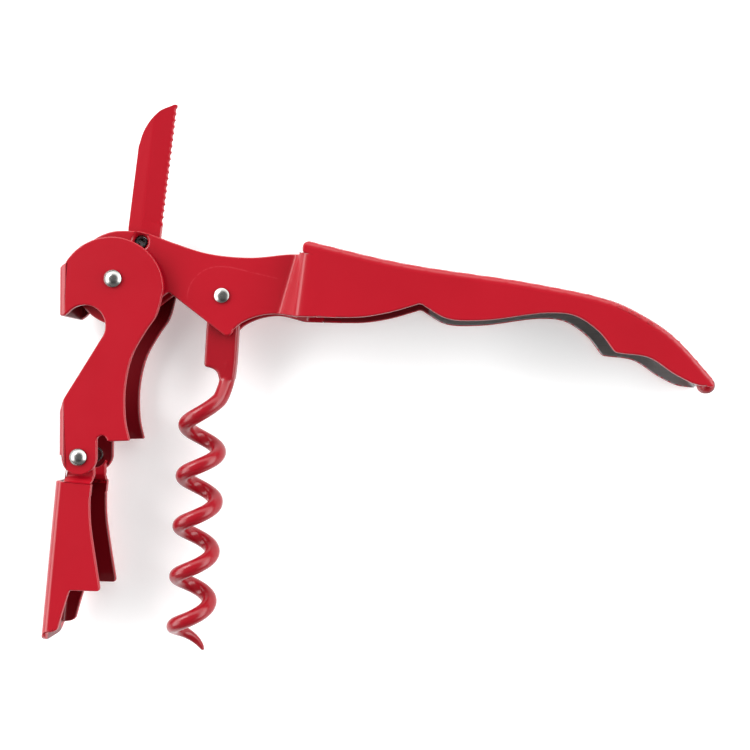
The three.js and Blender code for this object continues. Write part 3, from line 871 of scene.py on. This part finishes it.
ear_corners = [(-15, EAR_HALF), (FLARE, EAR_HALF), (FLARE + 1.3, LEVER_HALF), (20, LEVER_HALF)]
ear_line = softened(ear_corners, (0.4, 0.4), 4)
ear_side = [
    (SHOULDER + 2, 2.4), (SHOULDER - 0.1, 2.4), (3, 2.6),
    *arc(0, 0, EAR_RADIUS, 75, -75, 24),
    (SHOULDER, BEND - LOWER_BACK + 0.1), (SHOULDER + 2, BEND - LOWER_BACK + 0.1),
]
for side in (1, -1):
    outside = [(x, side * z) for x, z in ear_line]
    inside = [(x, side * (z - SHEET)) for x, z in ear_line]
    ear = plate("ear", [*outside, *reversed(inside)], -6, 6)
    pick(ear, "FACE", lambda co: True)
    bpy.ops.transform.rotate(value=math.pi / 2, orient_axis="X", center_override=(0, 0, 0))
    bpy.ops.object.mode_set(mode="OBJECT")
    ear.data.materials.append(coating)
    combine(ear, plate("ear side", ear_side, -LEVER_CUT_HALF, LEVER_CUT_HALF), "INTERSECT")
    combine(lower, ear, "UNION")
combine(lower, post(RIVET_HOLE, HOLE_HALF), "DIFFERENCE")


def off_the_ears_seam(co):
    """Leaves out the edge where an ear overlaps its wall."""
    return not (SHOULDER - 0.5 < co.x < SHOULDER + 2.3 and abs(co.y - SEAM_Y) < 0.4)


round_edges(lower, LEVER_EDGE_ROUND, where=off_the_ears_seam)
settle(lower, HINGE, LOWER_TURN)
tie(lower, "lower_lever", "red_coating", "lever_lower")

# %% [markdown]
# ## The worm
#
# The worm is one wire. Its top is hammered flat and pierced for the rivet, and below that it
# swings out into the coil and winds down right-handed to a long point. The coil is a curve with a
# round bevel, whose radius shrinks along the point. It is joined to the flat shank and both are
# remeshed and smoothed, because forging leaves no edge where the round wire runs into the flat.

# %% Wind the wire
WIRE = 1.4
COIL = 3.0
PITCH = 9.15
TURNS = 5
COIL_AXIS = -2.54
SHANK_HALF = 2.9
SHANK_LENGTH = 13.0
WIRE_X = SHANK_HALF - WIRE - 0.2
COIL_TOP = -SHANK_LENGTH - 3.5
STEEP = 2.05
LEAD_IN = (PITCH / 2) * (STEEP / 3)
LAST_ANGLE = 360 * TURNS - 45
POINT_DROP = 1.1
POINT_SIZE = 0.1
TAPER = 11.0


def coil_route():
    """The middle of the wire, which leaves the shank steeply and ends in a straighter point."""
    route = [(WIRE_X, -SHANK_LENGTH + 1, 0), (WIRE_X, -SHANK_LENGTH - 2, 0)]
    for degrees in range(30, LAST_ANGLE + 1, 15):
        angle = math.radians(degrees)
        early = max(0.0, 1 - angle / math.pi)
        late = max(0.0, (degrees - LAST_ANGLE + 90) / 90)
        drop = PITCH * angle / (2 * math.pi) + LEAD_IN * (1 - early**3) + POINT_DROP * late**2
        reach = COIL + (WIRE_X - COIL_AXIS - COIL) * early
        x, z = COIL_AXIS + reach * math.cos(angle), reach * math.sin(angle)
        route.append((x, COIL_TOP - drop, z))
    return through(route, 4)


route = coil_route()
draw("wound_wire", route)
bpy.ops.object.mode_set(mode="OBJECT")
bpy.ops.object.convert(target="CURVE")
worm = bpy.context.object
steps = [math.dist(a, b) for a, b in zip(route, route[1:])]
left = [sum(steps[i:]) for i in range(len(route))]
wire_points = worm.data.splines[0].points
if (wire_points[0].co.xyz - Vector(route[0])).length > 0.1:
    left.reverse()
for point, rest in zip(wire_points, left):
    point.radius = min(1.0, POINT_SIZE + (1 - POINT_SIZE) * math.sqrt(rest / TAPER))
worm.data.bevel_depth = WIRE
worm.data.bevel_resolution = 6
worm.data.use_fill_caps = True
bpy.ops.object.convert(target="MESH")
bpy.ops.object.mode_set(mode="EDIT")
bpy.ops.mesh.select_all(action="SELECT")
bpy.ops.mesh.remove_doubles(threshold=SAME_POINT)
bpy.ops.mesh.normals_make_consistent(inside=False)
bpy.ops.object.mode_set(mode="OBJECT")
print("wire:", round(sum(steps), 1), "mm long")

# %% [markdown]
# ## The worm: the shank
#
# The shank is a flat plate with a round end and a hollow corner, a little thinner than the wire.
# Once it is joined to the coil, a voxel remesh makes one skin over both and a few rounds of
# smoothing soften the step between them. The hole comes last, because smoothing would widen it.

# %% Forge the shank and join it to the coil
SHANK_THICK_HALF = 1.3
SHANK_ROUND = 0.45
SHANK_FOOT = -SHANK_LENGTH - 2.2
VOXEL = 0.17
SHORT_HOLE_HALF = 4
WORM_TURN = -3.5

shank_side = [
    *arc(0, 0, SHANK_HALF, 0, 180, 32), (-SHANK_HALF, -SHANK_LENGTH),
    *bow((-SHANK_HALF, -SHANK_LENGTH), (WIRE_X - WIRE, -SHANK_LENGTH),
         (WIRE_X - WIRE, SHANK_FOOT), 8),
    (WIRE_X + WIRE, SHANK_FOOT), (SHANK_HALF, -SHANK_LENGTH + 1),
]
shank = plate("shank", shank_side, -SHANK_THICK_HALF, SHANK_THICK_HALF)
worm.data.materials.clear()
worm.data.materials.append(shaded_wire_coating)
round_edges(shank, SHANK_ROUND)
combine(worm, shank, "UNION")
apply(worm, "REMESH", mode="VOXEL", voxel_size=VOXEL, use_smooth_shade=True)
apply(worm, "SMOOTH", factor=0.5, iterations=15)
combine(worm, post(SMALL_HOLE, SHORT_HOLE_HALF), "DIFFERENCE")
settle(worm, WORM_PIVOT, WORM_TURN)
tie(worm, "worm", "red_coating", "worm")

# %% [markdown]
# ## The foil knife
#
# The knife is a stamped blade. Its back is straight and curves down to the point, and its edge
# has a row of small scallops that are ground from one side only, along with a wide bevel. The
# blade is extruded from its outline, a wedge cuts the bevel away and then slanted round posts cut
# the scallops.

# %% Stamp and grind the blade
BLADE_HALF = 0.6
BLADE_LENGTH = 26.2
BLADE_WIDTH = 5.95
BLADE_BACK = BLADE_WIDTH / 2 + 0.15
EDGE = BLADE_BACK - BLADE_WIDTH
HEEL = 4.2
BLADE_ROUND = 0.13

blade_side = [
    *arc(0, 0, -EDGE, 90, 270, 32), (HEEL - 0.9, EDGE), (BLADE_LENGTH, EDGE),
    (BLADE_LENGTH, EDGE + 0.5),
    *through([(BLADE_LENGTH, EDGE + 0.5), (BLADE_LENGTH - 1.6, BLADE_BACK - 3.15),
              (BLADE_LENGTH - 3.3, BLADE_BACK - 1.75), (BLADE_LENGTH - 5.7, BLADE_BACK - 0.6),
              (BLADE_LENGTH - 8.7, BLADE_BACK)], 8),
    (2.5, BLADE_BACK),
]
blade = plate("serrated_blade", blade_side, -BLADE_HALF, BLADE_HALF)
blade.data.materials.append(coating)
combine(blade, post(SMALL_HOLE, SHORT_HOLE_HALF), "DIFFERENCE")
round_edges(blade, BLADE_ROUND, 2)
print("blade before grinding:", len(blade.data.polygons), "faces")

# %% [markdown]
# ## The foil knife: grinding
#
# A grindstone leaves a flat slope from the middle of the blade to its edge. The wedge that cuts
# it away is drawn from its end, and the end at the heel is pushed back at the top, because the
# stone leaves the blade at a slant.

# %% Grind the slope
SLOPE_WIDTH = 3.3
SLOPE_START = HEEL - 0.9
SLOPE_SLANT = 1.3
GROUND_TO = -0.9 * BLADE_HALF
wedge_side = [
    (EDGE + SLOPE_WIDTH, BLADE_HALF), (EDGE + SLOPE_WIDTH, 2), (EDGE - 1, 2), (EDGE - 1, GROUND_TO),
]
wedge = plate("wedge", [(SLOPE_START, y, z) for y, z in wedge_side], 0, 30, (1, 0, 0))
pick(wedge, "VERT", lambda co: co.x < HEEL and co.y > EDGE)
bpy.ops.transform.translate(value=(SLOPE_SLANT, 0, 0))
bpy.ops.object.mode_set(mode="OBJECT")
combine(blade, wedge, "DIFFERENCE")
print("slope:", SLOPE_WIDTH, "mm wide")

# %% [markdown]
# ## The foil knife: the scallops
#
# The teeth are what is left between a row of shallow scallops. Each scallop is cut with a round
# post that leans, so that it bites deeper on the ground side, as a shaped stone does.

# %% Cut the scallops
SCALLOPS = 18
SCALLOP_PITCH = (BLADE_LENGTH - 0.4 - HEEL) / SCALLOPS
SCALLOP_RADIUS = 0.8
SCALLOP_DEPTH = 0.27
SLANT = 0.45
KNIFE_TURN = 83
for i in range(SCALLOPS):
    middle = HEEL + (i + 0.5) * SCALLOP_PITCH
    height = EDGE + SCALLOP_DEPTH - SCALLOP_RADIUS + SLANT * BLADE_HALF
    circle = arc(middle, height, SCALLOP_RADIUS, 0, 360, 24)
    scallop = plate("scallop", circle, -2, 2, (0, SLANT, 1))
    combine(blade, scallop, "DIFFERENCE")
smooth(blade)
settle(blade, KNIFE_PIVOT, KNIFE_TURN)
tie(blade, "knife", "red_coating", "foil_knife")

# %% [markdown]
# ## The rivets
#
# Three rivets hold the tool together. Each has a low button head at both ends, with a tiny pit at
# the middle where the setting tool centred it. A rivet is a turned piece, so half its profile is
# drawn and spun about its axis.

# %% Turn the rivets
RIM = 0.12
RIM_ROUND = 0.06
PIT = [(0.13, 0.005), (0.09, 0.06), (0, 0.075)]
DOME_STEPS = 16
CLEARANCE = 0.2


def rivet(name, shank, head, height, seat, at, body, node):
    """A rivet with the same head at both ends: a low cap of a ball on a short straight rim."""
    cap = height - RIM
    ball = (head**2 + cap**2) / (2 * cap)
    widest = math.asin(head / ball)
    angles = [widest * (1 - i / DOME_STEPS) for i in range(DOME_STEPS)]
    dome = [(ball * math.sin(a), seat + height - ball * (1 - math.cos(a))) for a in angles]
    dome = [(radius, place) for radius, place in dome if radius > PIT[0][0] + 0.01]
    pit = [(radius, seat + height - depth) for radius, depth in PIT]
    rim = [(head - RIM_ROUND, seat), (head, seat + RIM_ROUND)]
    upper_half = [(shank, 0), (shank, seat), *rim, *dome, *pit]
    lower_half = [(radius, -place) for radius, place in reversed(upper_half[1:])]
    piece = turned(name, [*lower_half, *upper_half], 72)
    piece.data.materials.append(rivet_steel)
    settle(piece, at)
    tie(piece, body, "bright_steel", node)


rivet("button_rivet_lever", shank=1.15, head=1.55, height=0.8, seat=LEVER_HALF + CLEARANCE,
      at=(0, 0, 0), body="lever_axle", node="lever_rivet")
rivet("button_rivet_hinge", shank=1.15, head=1.5, height=0.8, seat=LEVER_HALF + CLEARANCE,
      at=HINGE, body="upper_lever", node="hinge_rivet")
rivet("button_rivet_worm", shank=0.95, head=1.325, height=0.5, seat=NECK_HALF + CLEARANCE,
      at=WORM_PIVOT, body="handle", node="worm_rivet")

# %% [markdown]
# ## The pin, the sleeve and the washers
#
# The knife turns on a hollow pin that is sunk in its dished hole. Inside the neck a sleeve keeps
# the two plates apart, and thin washers keep the blade and the lever's cheeks from rubbing. All
# are rings with their corners turned off.

# %% Turn the rings
def collar(name, node, slot, material, outer, inner, half, at):
    """A ring with a small chamfer on every corner."""
    cut = min(0.15, 0.4 * half, 0.3 * (outer - inner))
    section = [
        (inner + cut, -half), (outer - cut, -half), (outer, cut - half), (outer, half - cut),
        (outer - cut, half), (inner + cut, half), (inner, half - cut), (inner, cut - half),
        (inner + cut, -half),
    ]
    piece = turned(name, section, 48)
    piece.data.materials.append(material)
    settle(piece, at)
    tie(piece, "handle", slot, node)


# The pin's near-black steel is painted shade, so that its dished hole reads dark.
collar("hollow_pin", "knife_pin", "dark_steel", dark_steel,
       outer=1.0, inner=0.6, half=1.75, at=KNIFE_PIVOT)
collar("neck_sleeve", "lever_spacer", "dark_steel", dark_steel,
       outer=2.2, inner=RIVET_HOLE, half=1.3, at=(0, 0, 0))
for name, side in (("front", 1), ("back", -1)):
    up = Vector((0, 0, side))
    collar(f"blade_washer_{name}", f"knife_washer_{name}", "bright_steel", rivet_steel,
           outer=1.8, inner=1.2, half=0.2, at=KNIFE_PIVOT + 1.1 * up)
    collar(f"cheek_washer_{name}", f"lever_washer_{name}", "bright_steel", rivet_steel,
           outer=2.8, inner=RIVET_HOLE, half=0.2, at=3.1 * up)

# %% [markdown]
# ## The floor
#
# The tool lies on a plain white table. It is one large plane, subdivided a little, with a faint
# unevenness in its colour and surface. It glows slightly, so that it stays white up to its far
# edge without a second lamp.

# %% Lay the floor
FLOOR_SIDE = 3
PAPER = (0.84, 0.84, 0.84, 1)
PAPER_SHADE = (0.81, 0.81, 0.81, 1)

bpy.ops.object.select_all(action="DESELECT")
bpy.ops.mesh.primitive_plane_add(size=FLOOR_SIDE, location=(0, 0, 0))
floor = bpy.context.object
floor.name = "table_top"
bpy.ops.object.mode_set(mode="EDIT")
bpy.ops.mesh.subdivide(number_cuts=4)
bpy.ops.object.mode_set(mode="OBJECT")
paper = Finish("matt white table", {
    "Roughness": 0.75, "Specular IOR Level": 0.2,
    "Emission Color": (1, 1, 1, 1), "Emission Strength": 0.3,
})
clouds = paper.between(paper.noise(40, 3), 0.3, 0.7)
paper.feed("Base Color", paper.mix(clouds, PAPER, PAPER_SHADE))
paper.feed("Normal", paper.bump(paper.noise(0.8, 2), 0.01))
floor.data.materials.append(paper.material)
print("floor:", FLOOR_SIDE, "m,", len(floor.data.polygons), "faces")

# %% [markdown]
# ## The light
#
# Gloss shows what surrounds it, so the sky is drawn for its reflections. A plain white dome would
# wash the red out. This one is dark straight above, bright in a wide ring round that, brighter to
# the left and the right, and dark low down in front. A large lamp at the upper left gives the
# shadows their side.

# %% Light it
RING_FOOT = (0.03, 0.32)
RING_TOP = (0.55, 0.82)
FRONT = (0.25, 0.6)
SIDES = (0.5, 0.85)
SKY_STRENGTH = 3.1
SKY_LEAST = 0.04

world = bpy.data.worlds.new("soft studio")
bpy.context.scene.world = world
world.use_nodes = True
sky = Graph(world.node_tree, "Generated")
x, y, z = sky.split(sky.place)
ring = sky.between(z, *RING_FOOT) * (1 - 0.93 * sky.between(z, *RING_TOP))
front = 1 - 0.9 * sky.between(0 - y, *FRONT)
sides = 0.95 + 0.8 * sky.between(abs(x), *SIDES)
radiance = ring * front * sides * SKY_STRENGTH + SKY_LEAST
background = world.node_tree.nodes["Background"]
world.node_tree.links.new(radiance.socket, background.inputs["Strength"])
background.inputs["Color"].default_value = (1, 1, 1, 1)

LAMP_PLACE = Vector((-0.45, 0.4, 0.4))
bpy.ops.object.light_add(type="AREA", location=LAMP_PLACE)
lamp = bpy.context.object
lamp.name = "window"
lamp.data.size = 0.3
lamp.data.energy = 1.6
lamp.rotation_euler = (-LAMP_PLACE).to_track_quat("-Z", "Y").to_euler()
print("lamp:", lamp.data.energy, "W,", round(LAMP_PLACE.length, 2), "m away")

# %% [markdown]
# ## The camera
#
# The camera looks down from almost straight above the middle of the handle, so both walls of the
# levers' channels show. Its axes are worked out from its place and its aim, with the tool's length
# kept level in the picture, and a slight shift of the lens frames the tool.

# %% Place the camera
VIEW_FROM = Vector((55.95, -21.24, 161.81))
VIEW_AT = Vector((54.68, -19.80, 0))
LENS = 42.5
SHIFT = (-0.06, 0.02)
NEAREST = 0.005

bpy.ops.object.camera_add()
camera = bpy.context.object
back = (VIEW_FROM - VIEW_AT).normalized()
right = Vector((0, 1, 0)).cross(back).normalized()
turn = Matrix((right, back.cross(right), back)).transposed().to_4x4()
camera.matrix_world = Matrix.Translation(AXLE + VIEW_FROM * MM) @ turn
camera.data.lens = LENS
camera.data.shift_x, camera.data.shift_y = SHIFT
camera.data.clip_start = NEAREST
bpy.context.scene.camera = camera
bpy.context.scene.view_settings.view_transform = "Standard"
print("camera at", [round(v, 4) for v in camera.matrix_world.translation])
